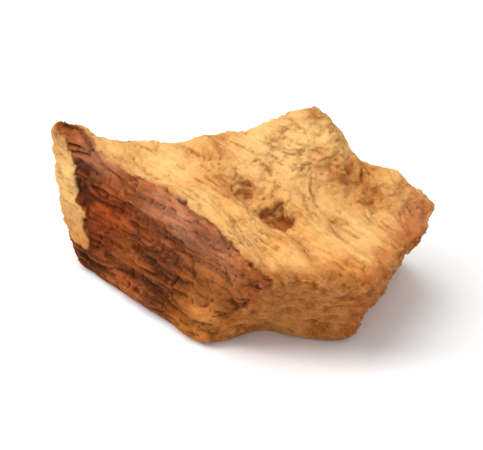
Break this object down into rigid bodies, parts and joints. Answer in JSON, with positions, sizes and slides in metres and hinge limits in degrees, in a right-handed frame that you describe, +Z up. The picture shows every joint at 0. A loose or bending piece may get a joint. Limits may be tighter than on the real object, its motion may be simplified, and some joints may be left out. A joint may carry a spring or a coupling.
{
  "type": "dried chicory root cube",
  "caption": "Small irregular block of dried root with dished pale cut faces, curled corners, open pores and a wrinkled strip of brown bark; it lies on a flat cut face.",
  "frame": {"origin": "under the middle of the block's bounding box, on the surface that it lies on", "axes": "+Z up from the flat underside, +X along the block's longest side with the pointed bark end at -X, +Y away from the bark side that is seen first"},
  "size_m": [0.0146, 0.0094, 0.0074],
  "materials": {
    "dried_root": "matt dried root: golden tan flesh with darker ring lines and pores, and a strip of purple-brown wrinkled bark"
  },
  "bodies": {
    "root": {"root_cube": "dried_root"}
  },
  "joints": []
}
